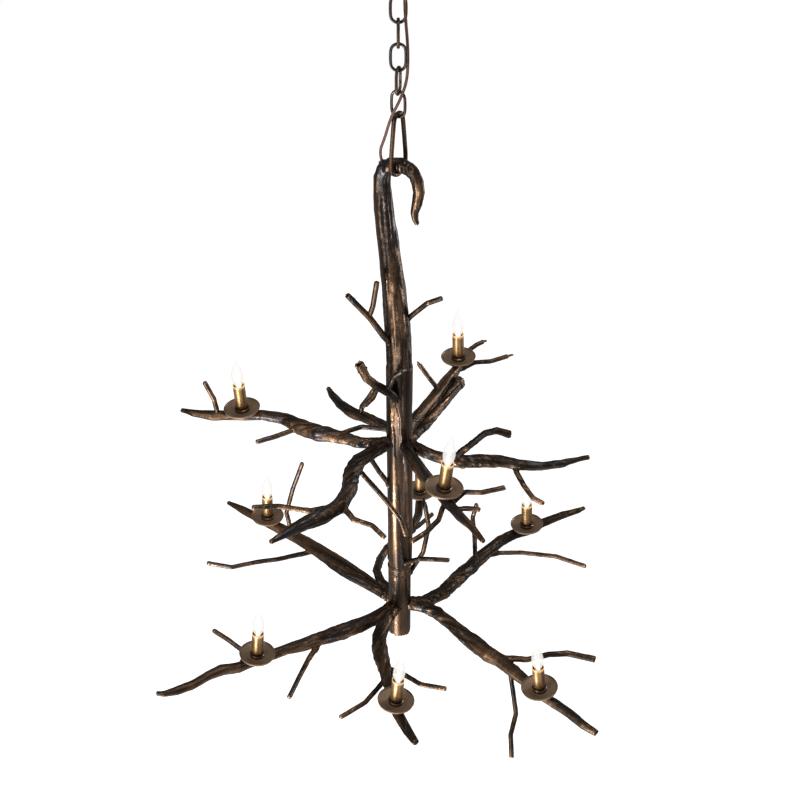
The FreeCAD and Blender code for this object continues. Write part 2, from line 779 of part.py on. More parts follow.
# Shoots on the trunk itself; heights over the upper hub.
TRUNK_TWIGS = (
    ((-8, -8, 224, 12), (-32, -22, 266, 12), (-56, -34, 312, 12), (-97, -50, 372, 12)),
    ((-57, -34, 314, 8), (-50, -36, 341, 8), (-42, -40, 395, 8)),
    ((12, 3, 284, 9), (53, 0, 324, 8), (81, -6, 339, 6)),
    ((0, -12, 106, 20), (-21, -38, 143, 19), (-46, -48, 167, 18), (-63, -54, 187, 18), (-77, -58, 223, 18)),
    ((-24, -40, 148, 8), (-10, -52, 191, 7), (11, -58, 211, 5)),
    ((-42, -47, 163, 8), (-52, -50, 138, 7), (-71, -60, 123, 5)),
)
# Two more shoots by the seam; their heights are over the seam.
SEAM_TWIGS = (
    ((6, -14, 31, 12), (43, -40, 67, 10), (73, -46, 71, 9), (105, -50, 72, 6)),
    ((14, 6, -29, 11), (51, 18, 35, 9), (63, 26, 102, 8), (52, 40, 165, 5)),
)
TRUNK_TUBE_ENDS = (0, 3)


def hollow_end(solid, stations, origin):
    """Opens the free end of a shoot as a sawn tube."""
    last = origin + V(*stations[-1][:3])
    before = origin + V(*stations[-2][:3])
    way = unit(last - before)
    bore = stations[-1][3] / 2 * number(size("tube_end_bore"))
    depth = number(size("tube_end_depth"))
    return solid.cut(rod(last - way * depth, way, bore, depth + 6))


def hub_origin(name):
    level = UPPER_HUB if name.startswith("upper") else LOWER_HUB
    return V(number(TRUNK_X), 0, number(level))


def coped(shape, tools):
    """Cuts a bar to fit against what it is welded to, keeping its long part."""
    for tool in tools:
        if shape.BoundBox.intersect(tool.BoundBox):
            shape = largest(shape.cut(tool))
    return shape


def make_branches(trunk):
    """All branches of a tier, each cut to the trunk and to its neighbours."""
    made = {"upper": [], "lower": []}
    main = {}
    for name, stations in BRANCHES.items():
        tier = name.split("_")[0]
        bar = forged_bar(stations, origin=hub_origin(name))
        bar = coped(bar, [trunk] + made[tier])
        made[tier].append(bar)
        main[name] = bar
    for name, bar in main.items():
        origin = hub_origin(name)
        tier = name.split("_")[0]
        pieces = [bar]
        others = list(made[tier])
        if name == "upper_back":
            stub = hollow_end(forged_bar(CUT_BAR, origin=origin), CUT_BAR, origin)
            stub = coped(stub, [trunk] + others)
            pieces.append(stub)
            made[tier].append(stub)
            others.append(stub)
        for stations in TWIGS[name]:
            twig = forged_bar(stations, sides=6, origin=origin)
            twig = coped(twig, [trunk] + others)
            pieces.append(twig)
            others.append(twig)
        made[tier] = others
        solid_feature("branch_" + name, Part.makeCompound(pieces))
    return main


def make_trunk_twigs(trunk, branches):
    pieces = []
    for level, shoots in ((UPPER_HUB, TRUNK_TWIGS), (SEAM, SEAM_TWIGS)):
        origin = V(number(TRUNK_X), 0, number(level))
        for index, stations in enumerate(shoots):
            twig = forged_bar(stations, sides=6, origin=origin)
            if shoots is TRUNK_TWIGS and index in TRUNK_TUBE_ENDS:
                twig = hollow_end(twig, stations, origin)
            pieces.append(coped(twig, [trunk] + branches + pieces))
    solid_feature("trunk_twigs", Part.makeCompound(pieces))


# -------------------------------------------------------------------- lights

# Lit branches: the route row that carries the light, and the candle's lean
# to the right in degrees.
LIGHTS = {
    "upper_left": (8, -3.4),
    "upper_front": (4, 6.0),
    "upper_back": (5, -2.0),
    "lower_back_left": (6, 2.0),
    "lower_back_right": (8, -2.8),
    "lower_back": (8, 0.0),
    "lower_front_left": (7, 4.8),
    "lower_front": (7, 5.0),
    "lower_front_right": (10, -6.0),
}


def light_place(name):
    """Placement of a light's foot: on top of its branch, leaning as bent."""
    row, lean = LIGHTS[name]
    x, y, z, diameter = BRANCHES[name][row]
    turn = FreeCAD.Rotation(V(0, 1, 0), lean)
    foot = hub_origin(name) + V(x, y, z)
    lift = diameter / 2 + number(size("seat_lift"))
    return FreeCAD.Placement(foot + turn.multVec(V(0, 0, lift)), turn)


def pan_template():
    rim = size("pan_dia") / 2
    flat = size("pan_flat_dia") / 2
    wall = size("pan_wall")
    rise = size("pan_rise")
    hole = size("stem_dia") / 2 + size("fit_gap")
    return turned("pan_blank", [
        (hole, 0), (flat, 0), (rim - wall, rise * 0.55), (rim, rise),
        (rim - wall, rise + wall * 0.4), (rim - wall * 2.4, rise * 0.55 + wall),
        (flat - wall / 2, wall), (hole, wall),
    ])


def cup_template():
    low = size("pan_wall")
    floor = low + size("cup_floor")
    outer = size("cup_dia") / 2
    inner = size("sleeve_dia") / 2 + size("fit_gap")
    hole = size("stem_dia") / 2 + size("fit_gap")
    high = low + size("cup_height")
    return turned("cup_blank", [
        (hole, low), (outer - 2.5, low), (outer, low + 2.5), (outer, high - 1.5),
        (inner + 0.6, high), (inner, high), (inner, floor), (hole, floor),
    ])


def sleeve_template():
    low = size("pan_wall") + size("cup_floor")
    outer = size("sleeve_dia") / 2
    inner = outer - size("sleeve_wall")
    high = low + size("sleeve_height")
    return turned("sleeve_blank", [(inner, low), (outer, low), (outer, high), (inner, high)])


def socket_template():
    low = size("pan_wall") + size("cup_floor")
    stem = size("stem_dia") / 2 + size("fit_gap")
    outer = size("socket_dia") / 2
    well = size("bulb_base_dia") / 2 + size("fit_gap")
    floor = low + size("socket_floor")
    high = low + size("socket_height")
    stem_top = low + size("stem_rise") + size("fit_gap")
    return turned("socket_blank", [
        (0, stem_top), (stem, stem_top), (stem, low), (outer, low), (outer, high),
        (well, high), (well, floor), (0, floor),
    ])


def bulb_template():
    """Screw base and flame-shaped glass with its tip bent to one side."""
    low = number(size("pan_wall") + size("cup_floor"))
    gap = number(size("fit_gap"))
    floor = low + number(size("socket_floor")) + gap
    glass = low + number(size("socket_height"))
    base = number(size("bulb_base_dia")) / 2
    half = number(size("bulb_dia")) / 2
    tall = low + number(size("sleeve_height")) + number(size("bulb_height")) - glass
    rows = (
        (0.00, 0.46, 0.0), (0.12, 0.70, 0.0), (0.28, 0.96, 0.0), (0.38, 1.00, 0.0),
        (0.52, 0.88, 0.0), (0.66, 0.62, 0.02), (0.80, 0.34, 0.06), (0.92, 0.15, 0.14),
        (1.00, 0.06, 0.24),
    )
    sections = []
    for share, width, bend in rows:
        middle = V(half * bend, 0, glass + tall * share)
        frame = (V(1, 0, 0), V(0, 1, 0))
        sections.append(ring_wire_at(middle, frame, half * width, 12, 0.0, 0))
    envelope = Part.makeLoft(sections, True, True)
    foot = rod(V(0, 0, floor), V(0, 0, 1), base, glass - floor)
    return envelope.fuse(foot)


def group_of(label, shape):
    """One node of nine equal solids, one on each lit branch."""
    copies = []
    for name in LIGHTS:
        copy = shape.copy()
        copy.Placement = light_place(name).multiply(copy.Placement)
        copies.append(copy)
    solid_feature(label, Part.makeCompound(copies))


def make_stems(branches):
    """Threaded stems: a shoulder coped to the branch, and a rod up the candle."""
    lift = number(size("seat_lift"))
    shoulder = number(size("shoulder_dia")) / 2
    stem = number(size("stem_dia")) / 2
    rise = number(size("pan_wall") + size("cup_floor") + size("stem_rise"))
    stems = []
    for name, bar in branches.items():
        if name not in LIGHTS:
            continue
        half = BRANCHES[name][LIGHTS[name][0]][3] / 2
        foot = rod(V(0, 0, -lift - half), V(0, 0, 1), shoulder, lift + half)
        shape = foot.fuse(rod(V(0, 0, -lift - half), V(0, 0, 1), stem, lift + half + rise))
        shape.Placement = light_place(name)
        stems.append(largest(shape.cut(bar)))
    solid_feature("candle_stems", Part.makeCompound(stems))


def make_lights(branches):
    make_stems(branches)
    pan = pan_template()
    for name in LIGHTS:
        solid_feature("drip_pan_" + name, pan.Shape.copy(), light_place(name))
    group_of("seat_cups", cup_template().Shape)
    group_of("candle_sleeves", sleeve_template().Shape)
    group_of("lamp_sockets", socket_template().Shape)
    bulb = bulb_template()
    for name in LIGHTS:
        solid_feature("bulb_" + name, bulb.copy(), light_place(name))


# --------------------------------------------------------------- supply cord

# Route of the cord beside the chain, from the crook's shoulder up to the
# collar: distance right, distance behind, and height over the crook's rest.
CORD_ROUTE = (
    (-24.0, 0.0, 66.0),
    (-18.0, -9.0, 92.0),
    (-11.0, -20.0, 118.0),
    (3.0, -20.0, 146.0),
    (15.0, -5.0, 174.0),
    (17.0, 6.0, 206.0),
    (16.0, 11.0, 240.0),
    (13.0, 11.0, 274.0),
    (11.0, 10.0, 306.0),
    (11.0, 10.5, 336.0),
    (9.5, 9.5, 360.0),
)


def cord_points():
    face, way = inlet_axis()
    hang = number(HANG_LEVEL)
    inside = face - way * (number(size("inlet_depth")) - 2)
    points = [inside, face + way * 14]
    points += [V(x, y, hang + z) for x, y, z in CORD_ROUTE]
    low = number(COLLAR_BOTTOM)
    leg = number(size("loop_leg"))
    points += [V(3.0, 3.5, low - 0.74 * leg), V(0, 0, low - 0.3 * leg), V(0, 0, low + 4)]
    return points


def rounded_path(points):
    """Straight runs joined by the largest tangent arcs that they allow."""
    edges = []
    radii = []
    start = points[0]
    for before, corner, after in zip(points, points[1:], points[2:]):
        into = unit(corner - before)
        away = unit(after - corner)
        turn = into.getAngle(away)
        run = min((corner - before).Length, (after - corner).Length)
        trim = 0.45 * run
        radii.append(trim / math.tan(turn / 2))
        first = corner - into * trim
        last = corner + away * trim
        bisector = unit(away - into)
        middle_gap = radii[-1] / math.cos(turn / 2) - radii[-1]
        middle = corner + bisector * middle_gap
        edges.append(Part.LineSegment(start, first).toShape())
        edges.append(Part.Arc(first, middle, last).toShape())
        start = last
    edges.append(Part.LineSegment(start, points[-1]).toShape())
    return Part.Wire(edges), radii


def make_cord():
    path, radii = rounded_path(cord_points())
    radius = number(size("cord_dia")) / 2
    start = path.Edges[0]
    way = start.tangentAt(start.FirstParameter)
    circle = Part.Circle(start.valueAt(start.FirstParameter), way, radius)
    profile = Part.Wire([circle.toShape()])
    tube = path.makePipeShell([profile], True, True)
    ideal = math.pi * radius ** 2 * path.Length
    print("cord length", round(path.Length, 1))
    print("cord arc radii", [round(value, 1) for value in radii])
    print("cord volume over section times length", round(tube.Volume / ideal, 4))
    solid_feature("supply_cord", tube)


# ---------------------------------------------------------------------- build

make_canopy()
make_crossbar()
make_nipple()
make_locknut()
make_collar_loop()
make_chain()
make_ring()
crook_trunk = make_crook_trunk()
make_bushing()
lower_trunk = make_lower_pipe()
make_coupling()
make_bottom_cap()
make_harness()
core = rod(
    V(number(TRUNK_X), 0, number(TRUNK_BOTTOM)), V(0, 0, 1),
    number(size("pipe_dia")) / 2, number(SEAM - TRUNK_BOTTOM),
)
trunk_solid = trunk_blank().fuse(core)
branch_bars = make_branches(trunk_solid)
branch_shapes = [node.Shape for node in NODES if node.Label.startswith("branch_")]
make_trunk_twigs(trunk_solid, branch_shapes)
make_lights(branch_bars)
make_cord()
doc.recompute()

for item in doc.Objects:
    if "Invalid" in item.State or "Error" in item.State:
        raise RuntimeError(f"{item.Label} failed: {item.State}")
for node in NODES:
    if node.Shape.isNull() or not node.Shape.isValid():
        raise RuntimeError(f"{node.Label} has no valid shape")

os.makedirs("parts", exist_ok=True)
for node in NODES:
    node.Shape.exportStep(f"parts/{node.Label}.step")
print("nodes", len(NODES), "solids", sum(len(node.Shape.Solids) for node in NODES))
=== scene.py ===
# %% [markdown]
# # A branch chandelier, dressed in bronze
# The imported model already holds every piece at its real size and place.  This
# file is about the looks: hammered bars instead of plain lofts, a bronze
# patina, brass candles and clear bulbs.  We start by loading the model.
# Nothing that we add may grow outside it.

# %% Load the frame
import json
import math

import bmesh
import bpy
from mathutils import Matrix, Vector, noise
from mathutils.bvhtree import BVHTree


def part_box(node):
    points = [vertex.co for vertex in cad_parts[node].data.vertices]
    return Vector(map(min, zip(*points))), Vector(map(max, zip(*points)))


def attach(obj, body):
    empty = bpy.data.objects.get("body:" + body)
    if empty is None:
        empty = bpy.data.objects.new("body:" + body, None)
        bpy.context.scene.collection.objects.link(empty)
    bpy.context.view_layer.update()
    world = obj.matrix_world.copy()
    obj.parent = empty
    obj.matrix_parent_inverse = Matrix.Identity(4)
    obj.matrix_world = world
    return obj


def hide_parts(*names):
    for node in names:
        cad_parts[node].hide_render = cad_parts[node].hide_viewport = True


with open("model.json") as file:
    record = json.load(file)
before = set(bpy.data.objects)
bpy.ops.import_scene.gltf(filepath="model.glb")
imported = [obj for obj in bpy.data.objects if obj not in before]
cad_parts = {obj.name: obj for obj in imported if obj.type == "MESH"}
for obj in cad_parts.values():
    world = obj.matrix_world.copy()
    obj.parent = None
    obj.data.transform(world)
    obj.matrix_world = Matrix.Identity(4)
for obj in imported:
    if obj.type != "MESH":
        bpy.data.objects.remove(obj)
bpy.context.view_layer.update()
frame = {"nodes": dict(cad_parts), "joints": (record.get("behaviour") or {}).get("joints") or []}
nodes = frame["nodes"]

# %% [markdown]
# ## Where the photographer stood
# The pans' ellipses give a camera about 35 degrees above the lamp, and the
# plumb trunk gives its distance, 3 m from the middle of the lamp.  The lens
# follows from the size of a one inch candle at that distance.

# %% Camera
AIM = Vector((0.003, 0.0, -0.970))
CAMERA_DISTANCE = 3.0
CAMERA_PITCH = math.radians(35.0)
LENS = 67.5
FILM_WIDTH = 36.0

camera_data = bpy.data.cameras.new("studio_camera")
camera_data.lens = LENS
camera_data.sensor_width = FILM_WIDTH
camera = bpy.data.objects.new("studio_camera", camera_data)
bpy.context.scene.collection.objects.link(camera)
bpy.context.scene.camera = camera
away = Vector((0.0, -math.cos(CAMERA_PITCH), math.sin(CAMERA_PITCH)))
camera.location = AIM + away * CAMERA_DISTANCE
camera.rotation_euler = (-away).to_track_quat("-Z", "Y").to_euler()
bpy.context.scene.view_settings.view_transform = "Standard"
print("camera at", tuple(round(value, 3) for value in camera.location))

# %% [markdown]
# ## The cord
# A brown cord comes out of the crook's shoulder, passes in front of the last
# link, slips behind the next ones and goes up into the canopy.  A curve with
# a round bevel is the natural way to make it: its points are the route, and
# a NURBS spline through so few of them bends as softly as cord does.

# %% Cord
CORD_DIAMETER = 0.0055
CORD_ROUTE = (
    (-0.0260, 0.0169, -0.4637),
    (-0.0361, 0.0234, -0.4430),
    (-0.0240, 0.0000, -0.3992),
    (-0.0180, -0.0090, -0.3732),
    (-0.0110, -0.0200, -0.3472),
    (0.0030, -0.0200, -0.3192),
    (0.0150, -0.0050, -0.2912),
    (0.0170, 0.0060, -0.2592),
    (0.0160, 0.0110, -0.2252),
    (0.0130, 0.0110, -0.1912),
    (0.0110, 0.0100, -0.1592),
    (0.0110, 0.0105, -0.1292),
    (0.0095, 0.0095, -0.1052),
    (0.0030, 0.0035, -0.0800),
    (0.0000, 0.0000, -0.0660),
    (0.0000, 0.0000, -0.0520),
)


def cord_curve(name, route, diameter):
    """A round tube along the route.

    Each point's radius scales a bevel of 1 m, so that the curve's box is the
    tube's own."""
    curve = bpy.data.curves.new(name, "CURVE")
    curve.dimensions = "3D"
    curve.bevel_depth = 1.0
    curve.bevel_resolution = 6
    curve.resolution_u = 12
    curve.use_fill_caps = True
    spline = curve.splines.new("NURBS")
    spline.points.add(len(route) - 1)
    for point, place in zip(spline.points, route):
        point.co = (*place, 1.0)
        point.radius = diameter / 2
    spline.order_u = 3
    spline.use_endpoint_u = True
    piece = bpy.data.objects.new(name, curve)
    bpy.context.scene.collection.objects.link(piece)
    return piece


cord = cord_curve("braided_cord", CORD_ROUTE, CORD_DIAMETER)
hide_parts("supply_cord")
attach(cord, "link_4")
print("cord points", len(CORD_ROUTE))

# %% [markdown]
# ## Shader maths as plain Python
# Patina is a sum of masks, and it reads best as arithmetic.  This small class
# wraps a node's output, so `dents * 0.5 + 0.2` adds the Math nodes by itself.

# %% Sockets that do sums


class Wire:
    """One output of a shader node, with the usual operators."""

    def __init__(self, tree, output):
        self.tree = tree
        self.output = output

    def maths(self, operation, *values, clamp=False):
        node = self.tree.nodes.new("ShaderNodeMath")
        node.operation = operation
        node.use_clamp = clamp
        for index, value in enumerate(values):
            plug(self.tree, node.inputs[index], value)
        return Wire(self.tree, node.outputs[0])

    def __add__(self, other):
        return self.maths("ADD", self, other)

    def __radd__(self, other):
        return self.maths("ADD", other, self)

    def __sub__(self, other):
        return self.maths("SUBTRACT", self, other)

    def __rsub__(self, other):
        return self.maths("SUBTRACT", other, self)

    def __mul__(self, other):
        return self.maths("MULTIPLY", self, other)

    def __truediv__(self, other):
        return self.maths("DIVIDE", self, other)

    def root(self):
        return self.maths("SQRT", self)

    def clamped(self):
        return self.maths("ADD", self, 0.0, clamp=True)


def plug(tree, socket, value):
    """Feeds a socket with another node's output or with a plain value."""
    if isinstance(value, Wire):
        tree.links.new(value.output, socket)
    elif value is not None:
        socket.default_value = value


def colour_value(value):
    return value if isinstance(value, Wire) else (*value, 1.0)


print("operators for shader sums are ready")

# %% [markdown]
# ## A material built call by call
# `Finish` holds one material's node tree.  Each method adds a node and gives
# back its output, so a whole finish reads from top to bottom.  `grain` turns
# a position into long coordinates, which stretch noise along the metal.

# %% Materials from short calls
WHITE = (1.0, 1.0, 1.0)
NEAR_AXIS = 0.0004
GRAIN_ACROSS = 130.0
GRAIN_UP_TRUNK = 7.0
GRAIN_ROUND_ARM = 32.0
GRAIN_OUT_ARM = 7.0


class Finish:
    """A material whose nodes are added one call at a time."""

    def __init__(self, name):
        self.material = bpy.data.materials.new(name)
        self.material.use_nodes = True
        self.tree = self.material.node_tree
        self.tree.nodes.clear()

    def add(self, kind, settings=None, output=0, **values):
        node = self.tree.nodes.new("ShaderNode" + kind)
        for key, value in (settings or {}).items():
            if key == "stops":
                self.set_stops(node.color_ramp, value)
            else:
                setattr(node, key, value)
        for key, value in values.items():
            plug(self.tree, self.input_of(node, key), value)
        return Wire(self.tree, node.outputs[output])

    @staticmethod
    def input_of(node, key):
        name = key.replace("_", " ")
        for socket in node.inputs:
            if socket.enabled and socket.name.lower() == name.lower():
                return socket
        raise KeyError(f"{node.bl_idname} has no input {name}")

    @staticmethod
    def set_stops(ramp, stops):
        while len(ramp.elements) < len(stops):
            ramp.elements.new(1.0)
        for element, (place, colour) in zip(ramp.elements, stops):
            element.position = place
            element.color = (*colour, 1.0)

    def spot(self):
        return self.add("TexCoord", output=3)

    def noise(self, where, scale, detail=4.0, rough=0.55, warp=0.0):
        return self.add(
            "TexNoise", Vector=where, Scale=scale, Detail=detail,
            Roughness=rough, Distortion=warp,
        )

    def step(self, value, low, high):
        """0 below low, 1 above high and a smooth ramp between them."""
        return self.add(
            "MapRange", {"interpolation_type": "SMOOTHSTEP"},
            Value=value, From_Min=low, From_Max=high,
        )

    def mix(self, factor, first, second):
        node = self.tree.nodes.new("ShaderNodeMix")
        node.data_type = "RGBA"
        plug(self.tree, node.inputs[0], factor)
        plug(self.tree, node.inputs[6], colour_value(first))
        plug(self.tree, node.inputs[7], colour_value(second))
        return Wire(self.tree, node.outputs[2])

    def parts(self, where):
        """The X, Y and Z of a position, each as a number."""
        split = self.add("SeparateXYZ", Vector=where).output.node
        return [Wire(self.tree, output) for output in split.outputs]

    def grain(self, where, along_z):
        """Coordinates whose long way runs up the trunk or out along an arm."""
        x, y, z = self.parts(where)
        if along_z:
            return self.add(
                "CombineXYZ", X=x * GRAIN_ACROSS, Y=y * GRAIN_ACROSS, Z=z * GRAIN_UP_TRUNK,
            )
        out = (x * x + y * y + NEAR_AXIS).root()
        return self.add(
            "CombineXYZ", X=x / out * GRAIN_ROUND_ARM + out * GRAIN_OUT_ARM,
            Y=y / out * GRAIN_ROUND_ARM, Z=z * GRAIN_ACROSS,
        )

    def bump(self, height, strength, distance):
        return self.add("Bump", Height=height, Strength=strength, Distance=distance)

    def join(self, kind, *values):
        """A node whose inputs are filled in their own order."""
        node = self.tree.nodes.new("ShaderNode" + kind)
        for socket, value in zip(node.inputs, values):
            plug(self.tree, socket, value)
        return Wire(self.tree, node.outputs[0])

    def finished(self, shader):
        output = self.tree.nodes.new("ShaderNodeOutputMaterial")
        plug(self.tree, output.inputs[0], shader)
        return self.material

    def surface(self, **values):
        return self.finished(self.add("BsdfPrincipled", **values))


print("materials so far", len(bpy.data.materials))

# %% [markdown]
# ## Bronze patina
# The steel is forged, darkened and then rubbed back, so copper shows on the
# high spots and in long streaks, while hollows stay nearly black.  Pointiness
# finds the edges, and stretched noise makes the streaks run up the trunk.

# %% Patina metals
DARK_BRONZE = (0.022, 0.016, 0.012)
WARM_BRONZE = (0.110, 0.062, 0.034)
RUBBED_COPPER = (0.560, 0.330, 0.190)
BLUE_STEEL = (0.030, 0.034, 0.042)
CLOUD_SCALE = 11.0
DENT_SCALE = 85.0
FINE_SCALE = 320.0
SATIN = 0.40


def patina(name, along_z, copper=0.5, warmth=0.5, bump_depth=0.0008, gloss=0.0):
    """Forged metal whose streaks and grooves run along the bar."""
    finish = Finish(name)
    spot = finish.spot()
    grain = finish.grain(spot, along_z)
    long_marks = finish.noise(grain, 1.0, 4.0, 0.6, 0.5)
    bands = finish.noise(grain, 0.35, 2.0, 0.5, 0.3)
    clouds = finish.noise(spot, CLOUD_SCALE, 3.0, 0.5, 0.6)
    fine = finish.noise(spot, FINE_SCALE, 4.0, 0.6)
    dents = finish.noise(spot, DENT_SCALE, 2.0, 0.45)
    edges = finish.step(finish.add("NewGeometry", output=7), 0.52, 0.62)
    warm = finish.step(
        bands * 0.5 + clouds * 0.3 + long_marks * 0.2, 0.47 - 0.1 * warmth, 0.62,
    )
    rubbed = finish.step(
        long_marks * 0.6 + dents * 0.2 + fine * 0.2, 0.59 - 0.08 * copper, 0.68,
    )
    rubbed = (rubbed * (copper + 0.2) + edges * copper * 0.8).clamped()
    blue = finish.step(finish.noise(grain, 0.22, 2.0, 0.5, 0.2), 0.54, 0.64)
    base = finish.mix(warm, DARK_BRONZE, WARM_BRONZE)
    base = finish.mix(blue * 0.7, base, BLUE_STEEL)
    colour = finish.mix(rubbed, base, RUBBED_COPPER)
    roughness = SATIN - gloss - rubbed * 0.10 + fine * 0.10 - blue * 0.08
    height = dents * 0.5 + fine * 0.12 + long_marks * 0.7
    return finish.surface(
        Base_Color=colour, Metallic=0.92, Roughness=roughness,
        Normal=finish.bump(height, 0.6, bump_depth),
    )


trunk_bronze = patina("trunk_bronze", True, copper=0.5, warmth=0.6, gloss=0.06)
arm_bronze = patina("arm_bronze", False, copper=0.45, warmth=0.3)
twig_bronze = patina("twig_bronze", True, copper=0.30, warmth=0.3)
chain_bronze = patina("chain_bronze", True, copper=0.5, warmth=0.9, bump_depth=0.0003)
cup_bronze = patina(
    "cup_bronze", True, copper=0.2, warmth=0.4, bump_depth=0.0001, gloss=0.12,
)
print("patinas", len(bpy.data.materials))

# %% [markdown]
# ## Brass, plastic, steel and cord
# The smaller finishes use the same few nodes.  Brass is old and satin.  Its
# foot is darkened with painted shade, and its upper edge has a painted warm
# glow for the lamp's light.

# %% Small finishes
BRASS_DARK = (0.150, 0.084, 0.036)
BRASS_PALE = (0.330, 0.195, 0.086)
# Painted shade that darkens the sleeve's foot where it stands in its cup.
BRASS_FOOT_SHADE = (0.045, 0.026, 0.013)
# Painted warm glow (emission) at the sleeve's mouth, standing in for the bulb's light.
BRASS_PAINTED_GLOW = (1.0, 0.62, 0.27)
BRAID_DARK = (0.045, 0.018, 0.011)
BRAID_PALE = (0.150, 0.062, 0.036)
BRAID_PITCH = 420.0
SPECK_DEPTH = 0.0001


def brass(name):
    """Satin brass, with painted shade at the foot and a painted warm glow at the mouth of a
    sleeve.
    """
    finish = Finish(name)
    spot = finish.spot()
    clouds = finish.noise(spot, 30.0, 3.0)
    brushed = finish.noise(finish.grain(spot, True), 1.2, 3.0)
    tone = finish.step(clouds * 0.5 + brushed * 0.5, 0.35, 0.65)
    colour = finish.mix(tone, BRASS_DARK, BRASS_PALE)
    shade = finish.add("Attribute", {"attribute_name": "height_share"}, output=2)
    # Painted shade towards the foot and painted bulb light at the mouth, set by the share of the
    # height.
    foot_shade = finish.step(shade, 0.02, 0.35)
    mouth_glow = finish.step(shade, 0.86, 1.0)
    colour = finish.mix(foot_shade, BRASS_FOOT_SHADE, colour)
    glow = finish.mix(mouth_glow, (0.0, 0.0, 0.0), BRASS_PAINTED_GLOW)
    return finish.surface(
        Base_Color=colour, Metallic=0.85, Roughness=0.36 + clouds * 0.14,
        Emission_Color=glow, Emission_Strength=0.9,
        Normal=finish.bump(brushed, 0.15, 0.0002),
    )


def plain(name, colour, metallic, roughness, grain=140.0):
    """One colour with a faint speckle."""
    finish = Finish(name)
    speck = finish.noise(finish.spot(), grain, 3.0)
    darker = tuple(0.8 * part for part in colour)
    lighter = tuple(min(1.0, 1.15 * part) for part in colour)
    shade = finish.mix(speck, darker, lighter)
    return finish.surface(
        Base_Color=shade, Metallic=metallic, Roughness=roughness + speck * 0.1,
        Normal=finish.bump(speck, 0.2, SPECK_DEPTH),
    )


def braid(name):
    """Woven cord: diagonal threads and a fine weave in dark red brown."""
    finish = Finish(name)
    spot = finish.add("TexCoord", output=0)
    threads = finish.add(
        "TexWave", {"bands_direction": "DIAGONAL"},
        Vector=spot, Scale=BRAID_PITCH, Distortion=0.0,
    )
    weave = finish.noise(spot, 900.0, 2.0)
    colour = finish.mix(threads * 0.7 + weave * 0.3, BRAID_DARK, BRAID_PALE)
    return finish.surface(
        Base_Color=colour, Roughness=0.7, Normal=finish.bump(threads, 0.4, 0.0003),
    )


aged_brass = brass("aged_brass")
pan_bronze = plain("pan_bronze", (0.235, 0.155, 0.098), 0.65, 0.42, grain=45.0)
zinc_steel = plain("zinc_steel", (0.55, 0.55, 0.53), 1.0, 0.35)
black_phenolic = plain("black_phenolic", (0.02, 0.02, 0.02), 0.0, 0.45)
lead_rubber = plain("lead_rubber", (0.03, 0.03, 0.03), 0.0, 0.6)
cord_braid = braid("cord_braid")
cord.data.materials.append(cord_braid)
print("materials", len(bpy.data.materials))

# %% [markdown]
# ## Hammered branches
# A forged branch isn't a smooth cone: it is a bar beaten until it looks
# grown.  The plain bars of the model are the right length and girth, so each
# one is copied, turned into an even skin of small squares, relaxed, and then
# pushed in and out by noise.  Twigs melt into their branch in the same step,
# as a weld does.

# %% Turn a node into forged metal
GROOVE_ACROSS = 75.0
GROOVE_UP_TRUNK = 5.0
GROOVE_ROUND_ARM = 22.0
GROOVE_OUT_ARM = 5.0
GROOVE_TALL_ARM = 90.0
RAY_INSET = 0.0004
RAY_REACH = 0.06
TUBE_WALL = 0.0042
HOLLOW = ("branch_upper_back", "trunk_twigs", "crook_trunk", "lower_trunk")
THIN_SHOOT = 0.0088
FULL_BAR = 0.024


def copy_of(name, piece_name):
    mesh = nodes[name].data.copy()
    piece = bpy.data.objects.new(piece_name, mesh)
    bpy.context.scene.collection.objects.link(piece)
    return piece


def settle(piece):
    """Applies the modifiers of a piece to its mesh."""
    graph = bpy.context.evaluated_depsgraph_get()
    mesh = bpy.data.meshes.new_from_object(piece.evaluated_get(graph))
    old = piece.data
    piece.modifiers.clear()
    piece.data = mesh
    bpy.data.meshes.remove(old)


def skinned(piece, voxel, passes):
    """An even skin of small squares, relaxed a few times."""
    remesh = piece.modifiers.new("even_skin", "REMESH")
    remesh.mode = "VOXEL"
    remesh.voxel_size = voxel
    relax = piece.modifiers.new("relax", "SMOOTH")
    relax.factor = 0.5
    relax.iterations = passes
    settle(piece)


def groove_spot(spot, along_z):
    """Long coordinates like the shader's grain, at the grooves' own scale."""
    if along_z:
        return Vector((
            spot.x * GROOVE_ACROSS, spot.y * GROOVE_ACROSS, spot.z * GROOVE_UP_TRUNK,
        ))
    out = math.sqrt(spot.x ** 2 + spot.y ** 2 + NEAR_AXIS)
    return Vector((
        spot.x / out * GROOVE_ROUND_ARM + out * GROOVE_OUT_ARM,
        spot.y / out * GROOVE_ROUND_ARM,
        spot.z * GROOVE_TALL_ARM,
    ))


def girths(mesh):
    """How thick the bar is under each point, found by looking through it."""
    points = [vertex.co for vertex in mesh.vertices]
    tree = BVHTree.FromPolygons(points, [tuple(face.vertices) for face in mesh.polygons])
    found = []
    for vertex in mesh.vertices:
        start = vertex.co - vertex.normal * RAY_INSET
        distance = tree.ray_cast(start, -vertex.normal, RAY_REACH)[3]
        found.append(distance + RAY_INSET if distance else FULL_BAR)
    return found


